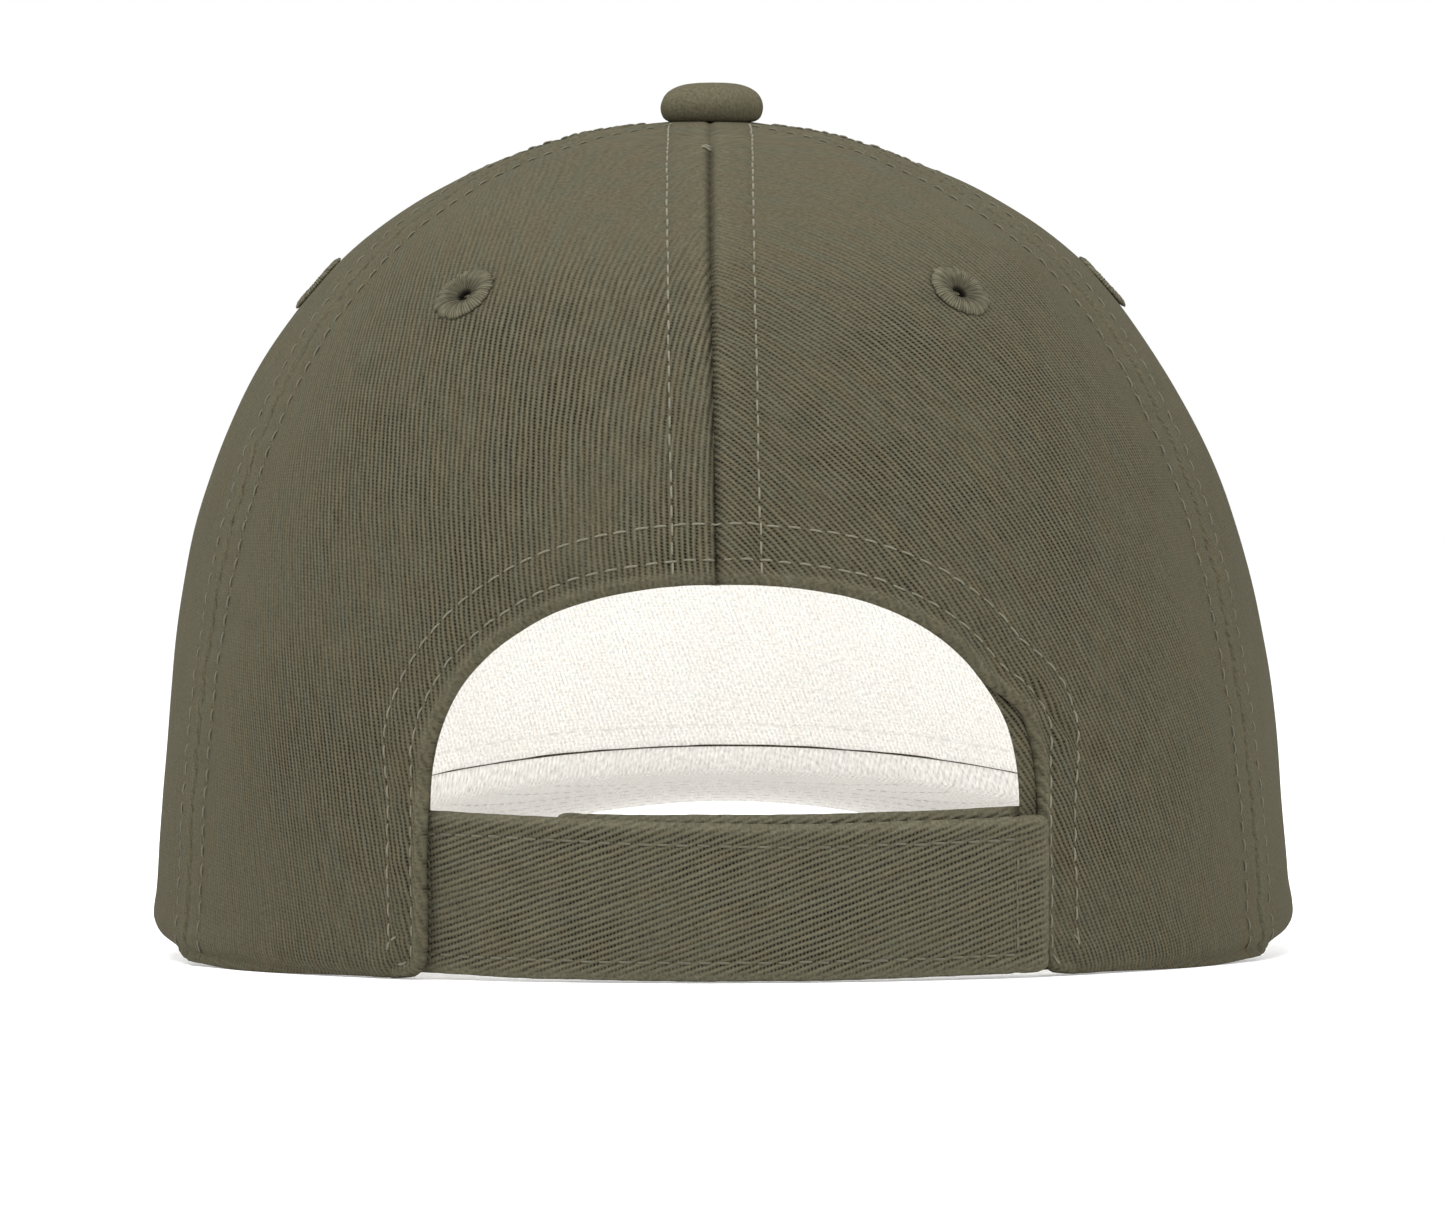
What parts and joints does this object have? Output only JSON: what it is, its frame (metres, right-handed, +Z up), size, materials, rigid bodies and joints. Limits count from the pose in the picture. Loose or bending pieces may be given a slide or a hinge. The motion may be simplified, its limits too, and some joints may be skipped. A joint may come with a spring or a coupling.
{
  "type": "baseball cap",
  "caption": "Six-panel cotton cap with a curved visor, top button and a hook-and-loop strap across an arched rear opening.",
  "frame": {"origin": "centre of the cap's bounding box in plan, at the height of the table it stands on", "axes": "+Z up; the visor points along -Y and the rear opening faces +Y, so +X is the wearer's left; the crown's rim is tilted up at the front by 2.54 degrees, as the drooping visor props it"},
  "size_m": [0.1764, 0.2758, 0.1336],
  "materials": {
    "olive_twill": "brushed cotton twill, olive",
    "visor_twill": "brushed cotton twill, olive",
    "button_twill": "brushed cotton twill, olive",
    "eyelet_thread": "satin-stitched polyester thread",
    "buckram": "stiff white buckram",
    "seam_tape": "natural cotton tape",
    "sweatband_twill": "natural cotton twill",
    "hook_tape": "nylon hook tape",
    "loop_tape": "nylon loop tape",
    "label_satin": "blank satin label",
    "board_plastic": "polyethylene board",
    "button_metal": "plated steel"
  },
  "bodies": {
    "crown": {"buckram_left": "buckram", "buckram_right": "buckram", "button_cover": "button_twill", "button_post": "button_metal", "button_shell": "button_metal", "button_washer": "button_metal", "eyelet_front_left": "eyelet_thread", "eyelet_front_right": "eyelet_thread", "eyelet_rear_left": "eyelet_thread", "eyelet_rear_right": "eyelet_thread", "eyelet_side_left": "eyelet_thread", "eyelet_side_right": "eyelet_thread", "opening_facing": "olive_twill", "panel_front_left": "olive_twill", "panel_front_right": "olive_twill", "panel_rear_left": "olive_twill", "panel_rear_right": "olive_twill", "panel_side_left": "olive_twill", "panel_side_right": "olive_twill", "seam_tape_centre": "seam_tape", "seam_tape_front_left": "seam_tape", "seam_tape_front_right": "seam_tape", "seam_tape_rear_left": "seam_tape", "seam_tape_rear_right": "seam_tape", "strap_lower_root": "olive_twill", "strap_upper_root": "olive_twill", "sweatband": "sweatband_twill", "visor_board": "board_plastic", "visor_top_cover": "visor_twill", "visor_under_cover": "sweatband_twill"},
    "upper_strap": {"strap_upper": "olive_twill", "hook_tape": "hook_tape"},
    "lower_strap": {"strap_lower": "olive_twill", "loop_tape": "loop_tape"},
    "label": {"care_label": "label_satin"}
  },
  "joints": [
    {"name": "strap_upper_peel", "type": "hinge", "parent": "crown", "child": "upper_strap", "pos_m": [0.03926, 0.12502, 0.01241], "axis": [0, -0.0444, -0.999], "range_deg": [0, 140]},
    {"name": "strap_lower_fold", "type": "hinge", "parent": "crown", "child": "lower_strap", "pos_m": [-0.03835, 0.12356, 0.01243], "axis": [0, -0.0444, -0.999], "range_deg": [0, 90]},
    {"name": "label_lift", "type": "hinge", "parent": "crown", "child": "label", "pos_m": [0.07973, 0.0429, 0.03505], "axis": [-0.0616, 0.9971, -0.0443], "range_deg": [0, 140]}
  ]
}
